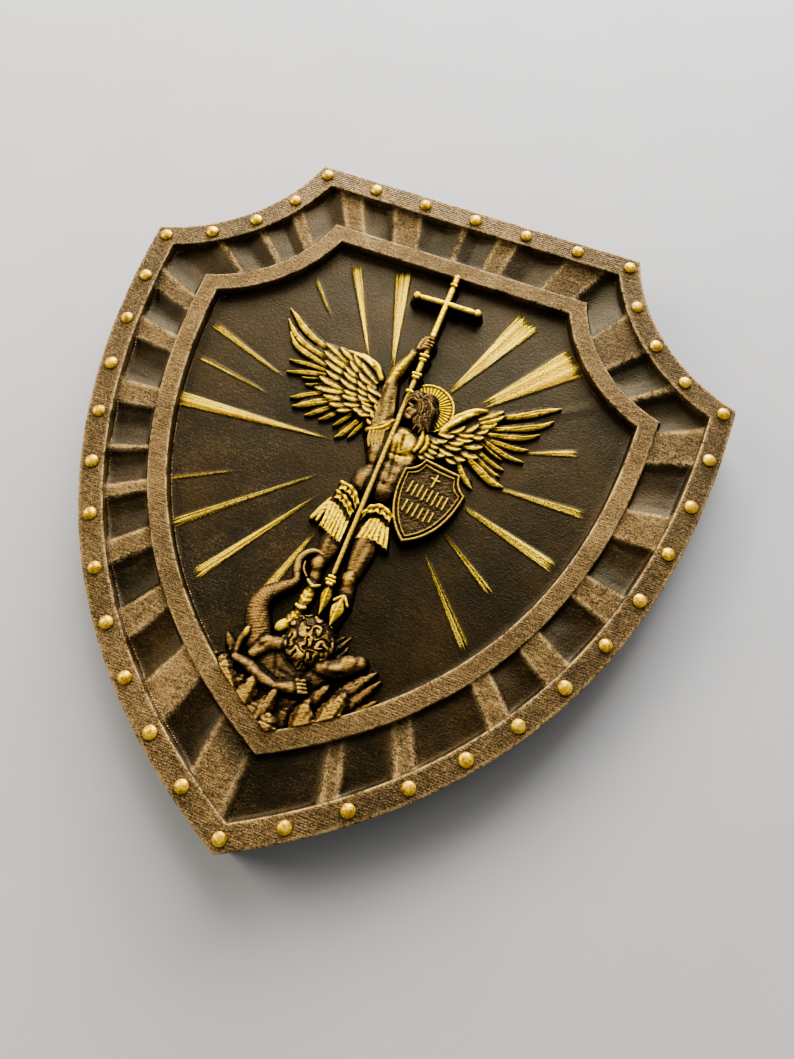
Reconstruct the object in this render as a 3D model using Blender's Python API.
"""Carved wooden shield plaque: one board with a riveted rim, a ribbed band, an inner border and a sunk
field that holds a winged figure with a cross staff and a small shield, standing on a fallen demon.

The board hangs upright. X is across it, Z is up, and the flat back lies on the plane Y = 0, with the
front towards -Y. The origin is on the back, behind the point where the sun rays meet. Sizes in the
constants are in millimetres, and a height is a distance from the back.
"""
import math

import bmesh
import bpy
import numpy as np

MM = 0.001

HALF_WIDTH = 100.0
CORNER_Z = 50.3
TOP_HALF = 57.4
TOP_Z = 94.1
TIP_Z = -124.8
NOTCH_SAG = 8.0
TIP_SLOPE = 27.1
SHOULDER_HANDLE = 62.8
TIP_HANDLE = 93.7

RIM_WIDTH = 7.4
RIM_TOP = 18.0
BORDER_SCALE = 0.784
BORDER_WIDTH = 6.0
BORDER_TOP = 16.0
FIELD = 12.2
WALL_DRAFT = 0.25

RIB_TOP_AT_RIM = 16.1
RIB_TOP_AT_BORDER = 15.2
BAND_AT_RIM = 14.8
BAND_AT_BORDER = 14.2
SPOKE_STEP = 4.6
SPOKE_GAP = 0.9
WIDE_STEP = 6.5

# Each rib: middle of its crest in degrees clockwise from the top, crest width, slope before, slope after.
RIBS = (
    (8.6, 4.0, 5.0, 4.0), (25.0, 6.8, 3.0, 2.0), (43.4, 8.8, 4.0, 2.0), (56.8, 0.6, 3.5, 2.2),
    (69.2, 6.6, 2.2, 2.8), (88.2, 7.2, 2.6, 2.6), (106.6, 6.2, 2.4, 2.6), (124.2, 5.4, 2.2, 2.0),
    (138.2, 4.0, 1.8, 1.8), (155.8, 3.0, 1.4, 1.4), (167.4, 2.4, 1.6, 1.6), (184.6, 6.4, 1.6, 1.6),
    (199.0, 6.0, 2.6, 1.8), (213.0, 4.8, 2.8, 1.6), (227.0, 4.0, 2.2, 2.4), (239.8, 2.4, 1.6, 2.4),
    (249.8, 0.6, 1.6, 3.0), (263.4, 5.0, 2.4, 2.6), (278.2, 4.0, 2.4, 2.6), (289.2, 3.6, 2.4, 2.8),
    (303.6, 0.6, 2.6, 3.8), (312.4, 0.6, 3.0, 4.4), (321.0, 2.0, 2.8, 4.6), (333.0, 4.0, 3.2, 2.8),
    (345.0, 5.8, 1.6, 3.0), (358.0, 0.6, 4.0, 4.0),
)

RIVET_RADIUS = 2.1
RIVET_HEIGHT = 1.25
RIVETS_ON_TOP = 7
RIVETS_ON_NOTCH = 3
RIVETS_ON_SIDE = 11
RIVET_SIDES = 6

# Each ray: degrees clockwise from the top, inner radius, inner width, outer radius, outer width.
RAYS = (
    (-39.8, 54, 0.4, 68, 1.2), (-28.0, 38, 0.7, 70, 3.0), (-14.6, 33, 0.7, 67, 4.8),
    (25.0, 31, 0.9, 68, 7.6), (42.3, 38, 1.6, 70.5, 8.6), (69.5, 46, 0.5, 60.5, 2.0),
    (88.0, 38, 0.7, 64, 2.2), (105.6, 32, 1.0, 62, 3.4), (124.4, 33, 0.5, 54, 2.0),
    (138.3, 38, 0.5, 65, 2.0), (197.4, 35, 1.0, 61, 3.0), (214.2, 27, 0.4, 67.5, 3.0),
    (229.6, 24, 0.4, 67, 2.5), (242.2, 48, 0.4, 66, 0.9), (266.0, 20, 0.5, 68.5, 4.4),
    (279.4, 45, 0.4, 68, 1.2), (289.4, 44, 0.5, 72.5, 1.8),
)
RAY_HEIGHT = 0.35
RAY_FOOT_SHARE = 0.75
RAY_CREST_SHARE = 0.42
RAY_INNER_CREST = 1 / 3

SINK = 9.0
LIMB_END_STEP = 0.75
LIMB_END_SHARE = 0.55
WOOD_COLOR = (0.085, 0.050, 0.026, 1.0)
WOOD_ROUGHNESS = 0.45


def clear_scene():
    for old in list(bpy.data.objects):
        bpy.data.objects.remove(old, do_unlink=True)


def front(x, z, height):
    """A point over the back plane, in metres."""
    return (x * MM, -height * MM, z * MM)


def make_object(name, points, faces, cutter=False):
    """A closed mesh with its faces turned outwards. A cutter is only joined into the board."""
    mesh = bpy.data.meshes.new(name)
    mesh.from_pydata(points, [], faces)
    shape = bmesh.new()
    shape.from_mesh(mesh)
    bmesh.ops.recalc_face_normals(shape, faces=shape.faces)
    shape.to_mesh(mesh)
    shape.free()
    thing = bpy.data.objects.new(name, mesh)
    bpy.context.scene.collection.objects.link(thing)
    if cutter:
        thing.hide_render = True
        thing.display_type = 'WIRE'
    return thing


def polar(degrees, radius):
    """X and Z of a point at that angle clockwise from the top."""
    turn = math.radians(degrees)
    return radius * math.sin(turn), radius * math.cos(turn)


# The outline: a straight top, a hollow notch to each side corner and a bowed side down to the tip.

def notch_circle(scale):
    """Centre and radius of the arc between the top corner and the side corner, on the +X side."""
    start = np.array((TOP_HALF, TOP_Z)) * scale
    end = np.array((HALF_WIDTH, CORNER_Z)) * scale
    chord = end - start
    half = np.linalg.norm(chord) / 2
    sag = NOTCH_SAG * scale
    radius = (half * half + sag * sag) / (2 * sag)
    outward = np.array((-chord[1], chord[0])) / (2 * half)
    return (start + end) / 2 + outward * (radius - sag), radius


def side_curve(scale, inset, steps=48):
    """Points of the bowed side, moved inwards by the inset and run on a little past both ends."""
    lean = math.radians(TIP_SLOPE)
    knots = np.array((
        (HALF_WIDTH, CORNER_Z),
        (HALF_WIDTH, CORNER_Z - SHOULDER_HANDLE),
        (TIP_HANDLE * math.cos(lean), TIP_Z + TIP_HANDLE * math.sin(lean)),
        (0.0, TIP_Z),
    )) * scale
    t = np.linspace(-0.12, 1.04, steps)[:, None]
    s = 1 - t
    points = s**3 * knots[0] + 3 * s * s * t * knots[1] + 3 * s * t * t * knots[2] + t**3 * knots[3]
    slope = (s * s * (knots[1] - knots[0]) + 2 * s * t * (knots[2] - knots[1])
             + t * t * (knots[3] - knots[2]))
    slope /= np.linalg.norm(slope, axis=1)[:, None]
    inwards = np.stack((slope[:, 1], -slope[:, 0]), axis=1)
    return points + inwards * inset


def edge_radii(degrees, scale, inset):
    """How far each of the three edges is from the centre at this angle, on the +X side."""
    x, z = polar(degrees, 1.0)
    top = (TOP_Z * scale - inset) / z if z > 1e-6 else math.inf
    centre, radius = notch_circle(scale)
    along = x * centre[0] + z * centre[1]
    gap = (radius + inset)**2 - (centre @ centre - along * along)
    notch = along - math.sqrt(gap) if gap > 0 and along > 0 else math.inf
    side = side_curve(scale, inset)
    angles = np.degrees(np.arctan2(side[:, 0], side[:, 1])) % 360.0
    bow = float(np.interp(degrees, angles, np.linalg.norm(side, axis=1)))
    return top, notch, bow


def outline_radius(degrees, scale, inset):
    folded = abs((degrees + 180.0) % 360.0 - 180.0)
    return min(edge_radii(folded, scale, inset))


def corner_angles(scale, inset):
    """The angles of the top corner and the side corner, where one edge takes over from another."""
    found = []
    for low, high, first in ((25.0, 40.0, 0), (55.0, 72.0, 1)):
        for _ in range(40):
            middle = (low + high) / 2
            radii = edge_radii(middle, scale, inset)
            if radii[first] < radii[first + 1]:
                low = middle
            else:
                high = middle
        found.append((low + high) / 2)
    return found


def rib_share(degrees):
    """1 on a rib's crest, 0 between the ribs."""
    share = 0.0
    for middle, crest, before, after in RIBS:
        turn = (degrees - middle + 180.0) % 360.0 - 180.0
        past = abs(turn) - crest / 2
        slope = after if turn > 0 else before
        share = max(share, 1.0 - max(past, 0.0) / slope)
    return share


def fixed_angles(corners):
    """The tip and the four corners, which every ring has."""
    return [corners[0], corners[1], 180.0, 360.0 - corners[1], 360.0 - corners[0]]


def close_spokes(fixed):
    """The spokes of the band: both edges of each rib's slopes, the corners and even fillers."""
    found = set()
    for middle, crest, before, after in RIBS:
        for turn in (-crest / 2 - before, -crest / 2, crest / 2, crest / 2 + after):
            found.add(round((middle + turn) % 360.0, 2))
    clear = []
    for angle in sorted(found):
        near_corner = any(abs(angle - corner) < SPOKE_GAP for corner in fixed)
        if not near_corner and (not clear or angle - clear[-1] > SPOKE_GAP):
            clear.append(angle)
    clear = sorted(clear + fixed)
    full = []
    for here, after in zip(clear, clear[1:] + [clear[0] + 360.0]):
        parts = max(1, math.ceil((after - here) / SPOKE_STEP))
        full += [(here + (after - here) * k / parts) % 360.0 for k in range(parts)]
    return sorted(full)


def wide_spokes(spokes, fixed):
    """The spokes that the rim and the border need: fewer of the same."""
    kept = []
    for angle, after in zip(spokes, spokes[1:] + [spokes[0] + 360.0]):
        if angle in fixed or not kept or after - kept[-1] > WIDE_STEP:
            kept.append(angle)
    return kept


def board_rings():
    """Each ring from the field out to the back: scale, inset, height at an angle, close spokes or not."""
    def level(height):
        return lambda degrees: height

    def band(low, high):
        return lambda degrees: low + (high - low) * rib_share(degrees)

    return (
        (BORDER_SCALE, BORDER_WIDTH + WALL_DRAFT, level(FIELD), False),
        (BORDER_SCALE, BORDER_WIDTH, level(BORDER_TOP), False),
        (BORDER_SCALE, 0.0, level(BORDER_TOP), False),
        (BORDER_SCALE, -WALL_DRAFT, band(BAND_AT_BORDER, RIB_TOP_AT_BORDER), True),
        (1.0, RIM_WIDTH + WALL_DRAFT, band(BAND_AT_RIM, RIB_TOP_AT_RIM), True),
        (1.0, RIM_WIDTH, level(RIM_TOP), False),
        (1.0, 0.0, level(RIM_TOP), False),
        (1.0, 0.0, level(0.0), False),
    )


def chain(ring, start, end):
    """The ring's point numbers from one spoke round to another."""
    keys = list(ring)
    first, last = keys.index(start), keys.index(end)
    if last <= first:
        last += len(keys)
    return [ring[keys[k % len(keys)]] for k in range(first, last + 1)]


def make_board():
    nominal = corner_angles(1.0, 0.0)
    fixed = fixed_angles(nominal)
    close = close_spokes(fixed)
    wide = wide_spokes(close, fixed)
    points, rings, faces = [], [], []
    for scale, inset, height, is_close in board_rings():
        moved = dict(zip(fixed, fixed_angles(corner_angles(scale, inset))))
        ring = {}
        for spoke in close if is_close else wide:
            angle = moved.get(spoke, spoke)
            x, z = polar(angle, outline_radius(angle, scale, inset))
            ring[spoke] = len(points)
            points.append(front(x, z, height(spoke)))
        rings.append(ring)
    faces += [tuple(rings[0].values()), tuple(rings[-1].values())]
    for inner, outer in zip(rings, rings[1:]):
        shared = [spoke for spoke in inner if spoke in outer]
        for spoke, after in zip(shared, shared[1:] + shared[:1]):
            faces.append(tuple(chain(inner, spoke, after) + chain(outer, spoke, after)[::-1]))
    return make_object('shield_plaque', points, faces)


# Shapes that are sunk into the board and joined to it.

def add_dome(name, x, z, reach_x, reach_z, base, top, sides=8, levels=2):
    """A rounded lump with its rim at the base height."""
    points, faces = [], []
    rings = [(1.0, SINK)] + [
        (math.cos(math.pi / 2 * k / levels), base + (top - base) * math.sin(math.pi / 2 * k / levels))
        for k in range(levels)]
    for share, height in rings:
        for k in range(sides):
            turn = 2 * math.pi * (k + 0.37) / sides
            points.append(front(x + reach_x * share * math.cos(turn),
                                z + reach_z * share * math.sin(turn), height))
    points.append(front(x, z, top))
    faces.append(tuple(range(sides)))
    for ring in range(len(rings) - 1):
        low, high = ring * sides, (ring + 1) * sides
        for k in range(sides):
            after = (k + 1) % sides
            faces.append((low + k, low + after, high + after, high + k))
    last = (len(rings) - 1) * sides
    for k in range(sides):
        faces.append((last + k, last + (k + 1) % sides, len(points) - 1))
    return make_object(name, points, faces, cutter=True)


def add_blade(name, root, tip, width, base, ridge, bow=0.0, stations=(0.0, 0.35, 0.75), blunt=0.55):
    """A leaf shape with a ridge along its middle: a feather, a lick of flame, a crag or a ray.

    root and tip are (x, z), base and ridge are (height at the root, height at the tip), bow bends the
    middle sideways, and blunt is the width at the root as a share of the full width.
    """
    root, tip = np.array(root, float), np.array(tip, float)
    along = tip - root
    across = np.array((-along[1], along[0])) / np.linalg.norm(along)
    outline, ridges = [], []
    for t in stations:
        middle = root + along * t + across * bow * 4 * t * (1 - t)
        spread = width / 2 * (blunt + (1 - blunt) * math.sin(math.pi * min(t + 0.12, 0.62)))
        low = base[0] + (base[1] - base[0]) * t
        high = ridge[0] + (ridge[1] - ridge[0]) * t
        outline.append((middle + across * spread, middle - across * spread, low))
        ridges.append((middle, high))
    lefts = [(left, low) for left, right, low in outline]
    rights = [(right, low) for left, right, low in outline]
    around = lefts + [(tip, base[1])] + rights[::-1]
    count = len(around)
    points = [front(*spot, low) for spot, low in around]
    points += [front(*spot, SINK) for spot, low in around]
    points += [front(*spot, high) for spot, high in ridges]
    crest = [2 * count + k for k in range(len(ridges))]
    faces = [tuple(range(count, 2 * count))]
    for k in range(count):
        after = (k + 1) % count
        faces.append((k, after, count + after, count + k))
    last = len(ridges) - 1
    for k in range(last):
        faces.append((k, k + 1, crest[k + 1], crest[k]))
        faces.append((count - 1 - k, crest[k], crest[k + 1], count - 2 - k))
    faces.append((last, last + 1, crest[last]))
    faces.append((last + 1, last + 2, crest[last]))
    faces.append((0, crest[0], count - 1))
    return make_object(name, points, faces, cutter=True)


def add_limb(name, path, arcs=3):
    """A rounded limb along a path of (x, z, height of its middle, radius), with upright sides below."""
    path = np.array(path, float)
    way = np.gradient(path[:, :2], axis=0)
    way /= np.linalg.norm(way, axis=1)[:, None]
    step, share = path[:, 3] * LIMB_END_STEP, path[:, 3] * LIMB_END_SHARE
    stations = [(path[0, :2] - way[0] * step[0], way[0], path[0, 2], share[0])]
    stations += [(spot[:2], heading, spot[2], spot[3]) for spot, heading in zip(path, way)]
    stations.append((path[-1, :2] + way[-1] * step[-1], way[-1], path[-1, 2], share[-1]))
    points, faces = [], []
    for spot, heading, middle, radius in stations:
        across = np.array((-heading[1], heading[0])) * radius
        points.append(front(*(spot + across), SINK))
        for k in range(arcs + 1):
            turn = math.pi * k / arcs
            points.append(front(*(spot + across * math.cos(turn)), middle + radius * math.sin(turn)))
        points.append(front(*(spot - across), SINK))
    count = arcs + 3
    for k in range(len(stations) - 1):
        low, high = k * count, (k + 1) * count
        for side in range(count):
            after = (side + 1) % count
            faces.append((low + side, low + after, high + after, high + side))
    faces.append(tuple(range(count)))
    faces.append(tuple(range((len(stations) - 1) * count, len(stations) * count)))
    return make_object(name, points, faces, cutter=True)


def add_slab(name, outline, top, inset=0.0, rise=0.0):
    """An upright-sided plate with that outline. Its top can slope in to a raised middle part."""
    outline = np.array(outline, float)
    count = len(outline)
    middle = outline.mean(axis=0)
    points = [front(*spot, SINK) for spot in outline] + [front(*spot, top) for spot in outline]
    faces = [tuple(range(count))]
    for k in range(count):
        after = (k + 1) % count
        faces.append((k, after, count + after, count + k))
    if inset > 0:
        inner = middle + (outline - middle) * (1 - inset)
        points += [front(*spot, top + rise) for spot in inner]
        for k in range(count):
            after = (k + 1) % count
            faces.append((count + k, count + after, 2 * count + after, 2 * count + k))
        faces.append(tuple(range(2 * count, 3 * count)))
    else:
        faces.append(tuple(range(count, 2 * count)))
    return make_object(name, points, faces, cutter=True)


def along_curve(knots, count):
    """Evenly spread points on a Bezier curve through its end knots."""
    knots = np.array(knots, float)
    found = []
    for t in np.linspace(0.0, 1.0, count):
        level = knots
        while len(level) > 1:
            level = level[:-1] * (1 - t) + level[1:] * t
        found.append(level[0])
    return np.array(found)


def add_rivets():
    """Domes along the middle of the rim, with one at each corner."""
    inset = RIM_WIDTH / 2
    top_corner, side_corner = corner_angles(1.0, inset)
    angles = []
    top_z = TOP_Z - inset
    half_span = top_z * math.tan(math.radians(top_corner))
    for k in range(RIVETS_ON_TOP):
        x = half_span * (2 * k / (RIVETS_ON_TOP - 1) - 1)
        angles.append(math.degrees(math.atan2(x, top_z)))
    for sign in (-1, 1):
        for k in range(1, RIVETS_ON_NOTCH + 2):
            angles.append(sign * (top_corner + (side_corner - top_corner) * k / (RIVETS_ON_NOTCH + 1)))
        side = side_curve(1.0, inset, 400)
        turn = np.degrees(np.arctan2(side[:, 0], side[:, 1])) % 360.0
        kept = (turn >= side_corner) & (turn <= 180.0)
        side, turn = side[kept], turn[kept]
        run = np.concatenate(([0.0], np.cumsum(np.linalg.norm(np.diff(side, axis=0), axis=1))))
        for k in range(1, RIVETS_ON_SIDE + 1):
            angles.append(sign * float(np.interp(run[-1] * k / (RIVETS_ON_SIDE + 1), run, turn)))
    angles.append(180.0)
    for k, angle in enumerate(angles):
        x, z = polar(angle, outline_radius(angle, 1.0, inset))
        add_dome(f'rivet_{k:02d}', x, z, RIVET_RADIUS, RIVET_RADIUS, RIM_TOP - 0.4 - 0.002 * k,
                 RIM_TOP + RIVET_HEIGHT, sides=RIVET_SIDES)


def add_rays():
    for k, (angle, inner, narrow, outer, wide) in enumerate(RAYS):
        start, end = np.array(polar(angle, inner)), np.array(polar(angle, outer))
        across = np.array(polar(angle + 90.0, 1.0))
        low, high = FIELD - 0.5, FIELD + RAY_HEIGHT
        foot, crest_foot = across * narrow, across * narrow * RAY_INNER_CREST
        flank, crest_flank = across * wide * RAY_FOOT_SHARE, across * wide * RAY_CREST_SHARE
        outline = ((start + foot, low), (start - foot, low), (end - flank, low), (end + flank, low))
        crest = ((start + crest_foot, FIELD + 0.05), (start - crest_foot, FIELD + 0.05),
                 (end - crest_flank, high), (end + crest_flank, high))
        deep = SINK + 0.01 * k
        points = [front(*spot, deep) for spot, height in outline]
        points += [front(*spot, height) for spot, height in outline + crest]
        faces = [(0, 1, 2, 3), (8, 9, 10, 11)]
        for side in range(4):
            after = (side + 1) % 4
            faces.append((side, after, 4 + after, 4 + side))
            faces.append((4 + side, 4 + after, 8 + after, 8 + side))
        make_object(f'ray_{k:02d}', points, faces, cutter=True)


# The figure's places are (x, z) in millimetres from the middle of the rays, read from its front.

STAFF_TOP = (1.5, 67.1)
STAFF_FOOT = (0.9, -45.5)
STAFF_RADIUS = 0.95
STAFF_MIDDLE = 16.6
CROSSBAR_Z = 56.2
CROSSBAR_ENDS = (-9.2, 12.6)
COLLARS = ((63.5, 1.25), (34.8, 1.6), (27.6, 1.6), (21.0, 1.3), (-45.4, 1.6))

HALO_MIDDLE = (8.7, 18.7)
HALO_RADIUS = 8.1
HALO_FLUTES = 12
HALO_RINGS = ((1.0, 14.9, 14.9), (0.9, 14.9, 14.9), (0.84, 14.6, 13.7), (0.45, 14.0, 13.8))

SMALL_SHIELD_MIDDLE = (18.2, -11.4)
SMALL_SHIELD_HALF_WIDTH = 10.2
SMALL_SHIELD_STRETCH = 1.23
SMALL_SHIELD_TURN = -8.0
SMALL_SHIELD_RINGS = ((1.0, 17.2), (0.93, 17.2), (0.91, 16.7), (0.85, 16.7), (0.83, 17.1), (0.77, 17.1),
                      (0.75, 16.5))
STROKE_TOP = 16.95

LEFT_WING = {
    'quill tips': ((-47.3, 38.3), (-46.3, 34.2), (-43.8, 29.5), (-40.0, 20.0), (-39.3, 15.5),
                   (-31.5, 13.4), (-34.5, 7.5), (-32.2, 5.0), (-27.7, 3.2), (-23.0, 3.6),
                   (-18.0, 3.0), (-16.0, -0.6), (-12.0, 0.7)),
    'quill roots': ((-28.0, 28.0), (-27.0, 14.0), (-7.0, 10.0)),
    'rows': (
        (((-31, 30), (-27.5, 19), (-20.5, 8.5)), ((-22, 26), (-20, 17), (-14.5, 12.5)), 7, 14.9),
        (((-22, 28.5), (-22.5, 18), (-16.5, 9)), ((-14.5, 24.5), (-13.5, 17), (-10.5, 13)), 6, 15.4),
        (((-16.5, 26), (-14.5, 16), (-11, 9)), ((-8.5, 21.5), (-7.5, 16.5), (-6.5, 12.5)), 5, 15.8),
    ),
    'bone': ((-25.5, 29.4, 14.2, 0.9), (-20.0, 28.6, 14.6, 1.2), (-14.0, 26.8, 14.8, 1.5),
             (-9.0, 24.0, 14.8, 1.8)),
}
RIGHT_WING = {
    'quill tips': ((48.4, 34.2), (47.4, 29.0), (44.5, 23.0), (42.5, 16.6), (42.2, 12.0),
                   (37.3, 7.6), (37.4, 5.0), (38.6, 2.4), (29.6, -1.8)),
    'quill roots': ((30.5, 24.5), (28.5, 14.0), (21.0, 4.0)),
    'rows': (
        (((31.5, 26.5), (30.5, 15.5), (25.5, 5)), ((25, 22), (23.5, 14), (19.5, 6.5)), 6, 14.9),
        (((26, 21), (26.5, 12.5), (20, 3.8)), ((19.5, 17), (18.5, 11.5), (14.5, 6.5)), 5, 15.4),
    ),
    'bone': ((25.6, 24.0, 14.4, 1.1), (21.5, 21.6, 14.8, 1.5), (18.0, 18.0, 14.8, 1.6),
             (16.0, 14.5, 14.6, 1.6)),
}

TAIL = ((-5.0, -38.0), (-12.5, -38.0), (-10.5, -47.0), (-3.0, -49.0), (-19.0, -52.0), (-19.5, -62.0),
        (-11.0, -71.0))

# Each crag: its foot, its tip, its width and its height at the tip.
CRAGS = (
    ((-16.0, -79.0), (-16.4, -64.6), 2.6, 16.0), ((-17.5, -76.5), (-21.4, -70.2), 2.6, 14.6),
    ((-13.5, -84.0), (-17.2, -77.4), 4.0, 17.4), ((-9.0, -87.0), (-9.0, -78.6), 4.6, 17.0),
    ((-1.5, -90.5), (-1.2, -79.6), 5.6, 17.6), ((7.6, -87.5), (7.6, -80.2), 6.6, 17.4),
    ((10.0, -82.0), (11.4, -73.8), 3.2, 16.8), ((14.0, -83.5), (17.4, -75.4), 6.0, 16.8),
    ((15.0, -78.5), (23.2, -66.4), 3.6, 15.6), ((18.8, -80.6), (25.5, -73.4), 2.6, 14.6),
    ((9.6, -66.0), (11.6, -58.4), 2.4, 14.0),
)


def feather(name, root, tip, width, base, ridge, bow=0.0):
    stations = (0.0, 0.35, 0.75) if bow else (0.0, 0.62)
    add_blade(name, root, tip, width, base, ridge, bow=bow, stations=stations, blunt=0.75)


def add_wing(label, wing, bow):
    """Long quills under overlapping rows of short feathers, with the wing's bone along the top."""
    tips = wing['quill tips']
    roots = along_curve(wing['quill roots'], len(tips))
    for k, (root, tip) in enumerate(zip(roots, tips)):
        lift = 0.012 * k
        feather(f'{label}_quill_{k:02d}', root, tip, 3.1, (13.4 - lift, 12.9), (14.5 - lift, 13.7),
                bow=bow if k < 3 else 0.0)
    for row, (tip_knots, root_knots, count, height) in enumerate(wing['rows']):
        row_tips = along_curve(tip_knots, count)
        row_roots = along_curve(root_knots, count)
        for k, (root, tip) in enumerate(zip(row_roots, row_tips)):
            lift = 0.013 * k
            feather(f'{label}_row{row}_{k:02d}', root, tip, 3.0, (height - 1.2 - lift, height - 1.5),
                    (height - 0.3 - lift, height - 0.5))
    add_limb(f'{label}_bone', wing['bone'])


def add_halo():
    """A fluted disc behind the head with a narrow raised rim."""
    sides = HALO_FLUTES * 2
    x, z = HALO_MIDDLE
    rings = ((1.0, SINK, SINK),) + HALO_RINGS
    points, faces = [], [tuple(range(sides))]
    for share, ridge, groove in rings:
        for k in range(sides):
            across, up = polar(360.0 * (k + 0.3) / sides, HALO_RADIUS * share)
            points.append(front(x + across, z + up, groove if k % 2 else ridge))
    for ring in range(len(rings) - 1):
        for k in range(sides):
            after = (k + 1) % sides
            low, high = ring * sides, (ring + 1) * sides
            faces.append((low + k, low + after, high + after, high + k))
    faces.append(tuple(range((len(rings) - 1) * sides, len(rings) * sides)))
    make_object('halo', points, faces, cutter=True)


def add_staff():
    """The long cross staff, with its collars and the leaf-shaped point at its foot."""
    top, foot = np.array(STAFF_TOP), np.array(STAFF_FOOT)
    shaft = [(*(top + (foot - top) * t), STAFF_MIDDLE - (0.9 if t == 0 else 0.0), STAFF_RADIUS)
             for t in (0.0, 0.1, 0.5, 1.0)]
    add_limb('staff', shaft)
    left, right = CROSSBAR_ENDS
    reach = ((left, 1.5), (left + 1.4, 0.9), (right - 1.4, 0.9), (right, 1.5))
    add_limb('crossbar', [(x, CROSSBAR_Z, STAFF_MIDDLE - 0.3, radius) for x, radius in reach])
    for k, (z, radius) in enumerate(COLLARS):
        x = float(np.interp(z, (foot[1], top[1]), (foot[0], top[0])))
        add_dome(f'collar_{k}', x, z, radius, 0.9, 15.5 - 0.01 * k, STAFF_MIDDLE + radius, sides=6)
    add_blade('spear_point', (0.95, -46.3), (1.3, -56.0), 3.3, (16.3, 16.0), (17.5, 16.8))


def small_shield_spot(x, z):
    """From the small shield's own axes to the board's."""
    turn = math.radians(SMALL_SHIELD_TURN)
    z *= SMALL_SHIELD_STRETCH
    return (SMALL_SHIELD_MIDDLE[0] + x * math.cos(turn) - z * math.sin(turn),
            SMALL_SHIELD_MIDDLE[1] + x * math.sin(turn) + z * math.cos(turn))


def add_small_shield():
    """The plaque's own outline again, with two raised lines, a plain cross and two rows of strokes."""
    top_corner, side_corner = corner_angles(1.0, 0.0)
    right = [0.0, top_corner, 47.0, side_corner, 95.0, 130.0, 155.0]
    angles = right + [180.0] + [360.0 - angle for angle in reversed(right[1:])]
    size = SMALL_SHIELD_HALF_WIDTH / HALF_WIDTH
    rings = ((1.0, SINK),) + SMALL_SHIELD_RINGS
    count = len(angles)
    points, faces = [], [tuple(range(count))]
    for share, height in rings:
        for angle in angles:
            x, z = polar(angle, outline_radius(angle, size, 0.0) * share)
            points.append(front(*small_shield_spot(x, z), height))
    for ring in range(len(rings) - 1):
        for k in range(count):
            after = (k + 1) % count
            low, high = ring * count, (ring + 1) * count
            faces.append((low + k, low + after, high + after, high + k))
    faces.append(tuple(range((len(rings) - 1) * count, len(rings) * count)))
    make_object('small_shield', points, faces, cutter=True)
    bars = [((-0.35, 5.2), (0.35, 8.6)), ((-1.5, 6.9), (1.5, 7.5))]
    bars += [((-5.6 + 2.1 * k, 0.6 + 0.3 * (k % 2)), (-5.0 + 2.1 * k, 3.4)) for k in range(6)]
    bars += [((-3.6 + 2.1 * k, -4.4), (-3.0 + 2.1 * k, -1.8 - 0.3 * (k % 2))) for k in range(4)]
    for k, ((x0, z0), (x1, z1)) in enumerate(bars):
        corners = [small_shield_spot(x, z) for x, z in ((x0, z0), (x1, z0), (x1, z1), (x0, z1))]
        add_slab(f'stroke_{k:02d}', corners, STROKE_TOP + 0.004 * k)


def add_body():
    """Torso, raised arm, head and hair."""
    lumps = (
        ('chest', 2.4, 4.2, 7.6, 5.4, 13.4, 16.5), ('left_breast', -1.3, 4.4, 3.5, 3.2, 15.2, 17.0),
        ('right_breast', 5.9, 4.6, 4.2, 3.5, 15.2, 17.2), ('waist', 1.6, -7.0, 5.4, 8.6, 13.4, 16.3),
        ('left_belly', -0.9, -3.4, 2.3, 2.0, 15.0, 16.8), ('right_belly', 4.2, -3.4, 2.4, 2.0, 15.0, 16.8),
        ('left_flank', -1.5, -9.6, 2.6, 3.4, 15.0, 16.7), ('right_flank', 4.6, -9.4, 2.6, 3.4, 15.0, 16.7),
        ('left_strap', 9.9, 5.4, 1.6, 3.2, 14.6, 17.1), ('right_strap', 12.9, 5.0, 1.7, 2.7, 14.6, 17.0),
        ('hand', 0.7, 40.2, 2.2, 2.9, 15.2, 17.8), ('head', 6.4, 16.6, 4.4, 5.2, 14.8, 17.9),
        ('hair_crown', 7.6, 19.0, 4.4, 4.2, 14.6, 17.7), ('hair_nape', 10.6, 14.0, 2.6, 4.6, 14.6, 17.2),
        ('hair_end', 10.4, 9.6, 2.6, 2.0, 14.4, 16.8),
    )
    for k, (name, x, z, reach_x, reach_z, base, top) in enumerate(lumps):
        add_dome(name, x, z, reach_x, reach_z, base + 0.003 * k, top, sides=6 + k % 2)
    add_limb('raised_arm', ((-2.6, 7.4, 14.2, 2.4), (-4.2, 14.0, 14.4, 2.7), (-5.4, 22.0, 14.6, 2.5),
                            (-4.6, 27.5, 14.8, 2.3), (-2.2, 36.0, 15.4, 1.5)))
    add_blade('armpit_fold', (-6.2, 4.4), (0.2, 9.4), 3.2, (14.8, 14.8), (16.4, 16.4), bow=-0.8)
    for k in range(5):
        root = (5.0 + 1.3 * k, 20.6 - 0.3 * k * k)
        tip = (8.4 + 1.5 * k, 12.8 - 1.0 * k)
        add_blade(f'lock_{k}', root, tip, 1.7, (15.2 + 0.01 * k, 15.0), (18.1 - 0.2 * k, 17.2 - 0.2 * k),
                  bow=0.8)


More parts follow.
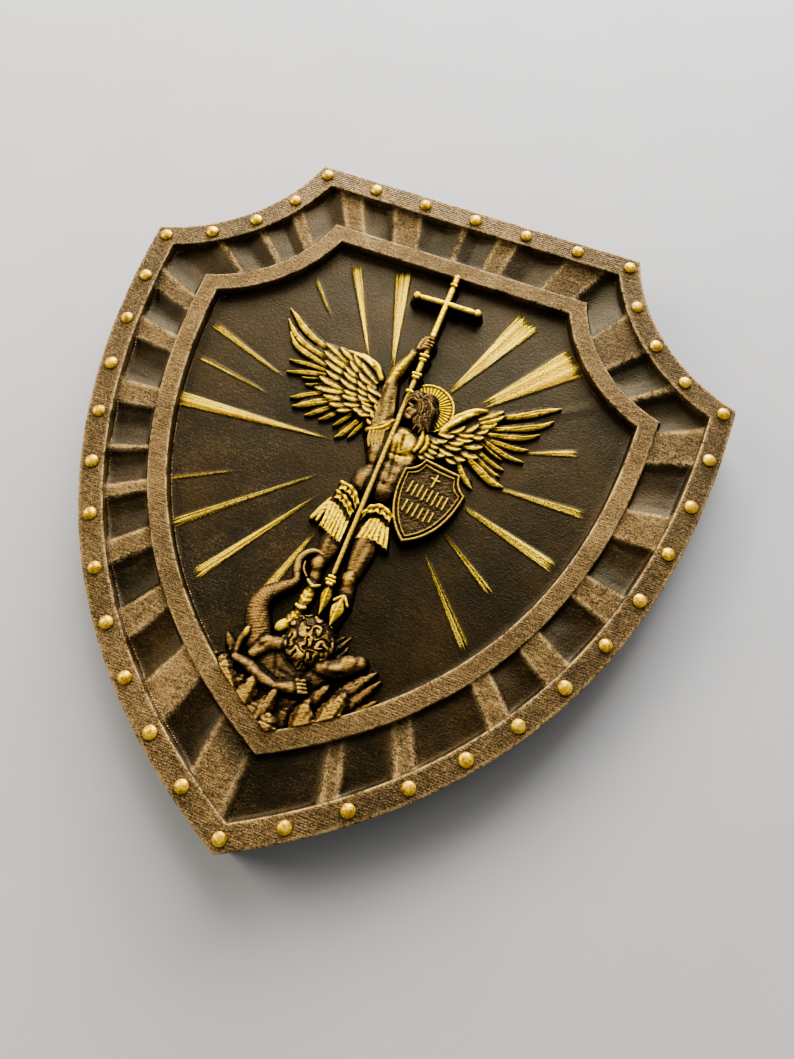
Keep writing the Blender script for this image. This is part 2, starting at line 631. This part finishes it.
def add_skirt():
    """A belt of two folded frills over pleated panels, with the staff passing between the panels."""
    frills = (
        ((-7.2, -15.8, 15.0, 1.5), (-4.0, -17.0, 15.2, 1.8), (-0.6, -20.2, 15.2, 1.5)),
        ((-8.0, -18.6, 14.8, 1.5), (-4.2, -20.6, 15.0, 1.7), (-0.8, -22.2, 15.0, 1.3)),
        ((9.6, -19.0, 15.0, 1.6), (6.4, -18.2, 15.2, 2.0), (2.4, -21.8, 15.2, 1.4)),
    )
    for k, path in enumerate(frills):
        add_limb(f'frill_{k}', path)
    pleats = 3
    for k in range(pleats):
        t = k / (pleats - 1)
        add_blade(f'left_pleat_{k}', (-6.8 + 5.2 * t, -20.6 - 1.5 * t), (-8.2 + 6.8 * t, -31.0 - 2.2 * t),
                  3.8, (14.6 + 0.01 * k, 14.8), (15.9, 16.5), stations=(0.0, 0.94), blunt=0.6)
        add_blade(f'right_pleat_{k}', (4.6 + 5.0 * t, -21.0), (3.0 + 9.2 * t, -30.2 + 2.0 * t * (1 - t)),
                  4.8, (14.6 + 0.01 * k, 14.8), (15.9, 16.5), stations=(0.0, 0.94), blunt=0.5)
    add_blade('skirt_flap', (-7.0, -22.0), (-12.4, -29.0), 3.0, (14.0, 13.6), (15.4, 14.6))


def add_legs():
    add_limb('left_leg', ((-4.2, -29.0, 13.2, 3.4), (-4.4, -36.0, 13.4, 3.2), (-4.0, -41.0, 13.6, 2.5),
                          (-3.4, -46.0, 13.2, 2.2), (-3.6, -51.0, 13.4, 2.1), (-3.9, -57.0, 13.6, 1.6)))
    add_limb('left_foot', ((-3.6, -57.0, 14.8, 1.6), (-5.2, -60.0, 15.4, 1.8), (-6.8, -63.0, 15.6, 1.7)))
    add_limb('right_leg', ((7.0, -28.0, 13.2, 3.5), (5.8, -35.0, 13.4, 3.1), (5.4, -40.5, 13.6, 2.5),
                           (6.2, -45.0, 13.2, 2.1), (6.2, -51.0, 13.2, 1.9), (5.6, -57.0, 13.4, 1.5)))
    add_blade('shin_plate', (5.9, -48.6), (5.8, -58.0), 3.6, (14.4, 14.4), (15.6, 15.8), blunt=0.2)
    for k, z in enumerate((-48.2, -54.8)):
        add_dome(f'boot_cuff_{k}', -3.6, z, 2.4, 0.9, 14.0, 15.8, sides=8)


def add_demon():
    """Curly head under the foot, arms on the ground and a scaled tail rising on the left."""
    add_dome('demon_head', 1.6, -63.6, 6.6, 7.0, 14.4, 18.2, sides=10)
    for ring, (count, reach, size, top) in enumerate(((7, 5.1, 2.2, 17.6), (3, 2.2, 2.2, 18.7))):
        for k in range(count):
            turn = 2 * math.pi * (k + 0.4 * ring) / count
            x, z = 1.6 + reach * math.cos(turn), -63.4 + reach * 1.08 * math.sin(turn)
            add_dome(f'curl_{ring}_{k}', x, z, size, size, 15.2 + 0.01 * k, top, sides=5)
    steps = 9
    spots = along_curve(TAIL, steps)
    path = [(x, z, 13.0 + 1.2 * t, 0.5 + 2.7 * min(1.0, 1.5 * t))
            for t, (x, z) in zip(np.linspace(0.0, 1.0, steps), spots)]
    add_limb('tail', path)
    add_limb('left_upper_arm', ((-12.6, -74.0, 13.6, 2.0), (-9.6, -70.6, 14.2, 2.4),
                                (-6.6, -68.6, 14.2, 2.0)))
    add_limb('left_forearm', ((-13.4, -77.0, 14.4, 1.7), (-8.0, -77.4, 14.8, 1.9), (-1.0, -79.0, 15.2, 1.6),
                              (4.4, -77.0, 15.6, 2.0)))
    add_limb('right_arm', ((9.6, -69.4, 13.8, 2.4), (12.4, -68.0, 14.2, 2.8), (15.6, -66.6, 14.0, 2.3)))
    add_dome('demon_back', 2.0, -72.6, 8.0, 4.5, 13.4, 15.2, sides=7)


def add_ground():
    """A mound that fills the tip of the field, cut along the border, with pointed crags on it."""
    edge = 0.15
    outline = []
    for angle in (167.0, 172.0, 176.0, 180.0, 184.0, 188.0, 193.0):
        outline.append(polar(angle, outline_radius(angle, BORDER_SCALE, BORDER_WIDTH - edge)))
    outline += [(-14.5, -76.0), (-6.0, -80.5), (4.0, -79.5), (12.5, -77.5), (17.0, -79.0)]
    add_slab('mound', outline, 15.4, inset=0.35, rise=1.3)
    for k, (foot, tip, width, height) in enumerate(CRAGS):
        base, ridge = (14.2 + 0.01 * k, height - 1.6), (height - 0.2, height)
        add_blade(f'crag_{k:02d}', foot, tip, width, base, ridge, stations=(0.0, 0.55), blunt=0.8)


def make_plaque():
    board = make_board()
    add_rivets()
    add_rays()
    add_wing('left', LEFT_WING, 1.0)
    add_wing('right', RIGHT_WING, -0.6)
    add_halo()
    add_body()
    add_skirt()
    add_legs()
    add_small_shield()
    add_staff()
    add_demon()
    add_ground()
    return board


def paint(thing):
    finish = bpy.data.materials.new('stained_wood')
    finish.use_nodes = True
    shader = finish.node_tree.nodes['Principled BSDF']
    shader.inputs['Base Color'].default_value = WOOD_COLOR
    shader.inputs['Roughness'].default_value = WOOD_ROUGHNESS
    shader.inputs['Metallic'].default_value = 0.0
    finish.diffuse_color = WOOD_COLOR
    thing.data.materials.append(finish)


def join_shapes(board):
    """Moves every cutter into one collection and unions that with the board."""
    group = bpy.data.collections.new('carving')
    bpy.context.scene.collection.children.link(group)
    for thing in list(bpy.context.scene.collection.objects):
        if thing is not board:
            bpy.context.scene.collection.objects.unlink(thing)
            group.objects.link(thing)
    union = board.modifiers.new('carving', 'BOOLEAN')
    union.operation = 'UNION'
    union.solver = 'EXACT'
    union.operand_type = 'COLLECTION'
    union.collection = group


clear_scene()
plaque = make_plaque()
paint(plaque)
join_shapes(plaque)
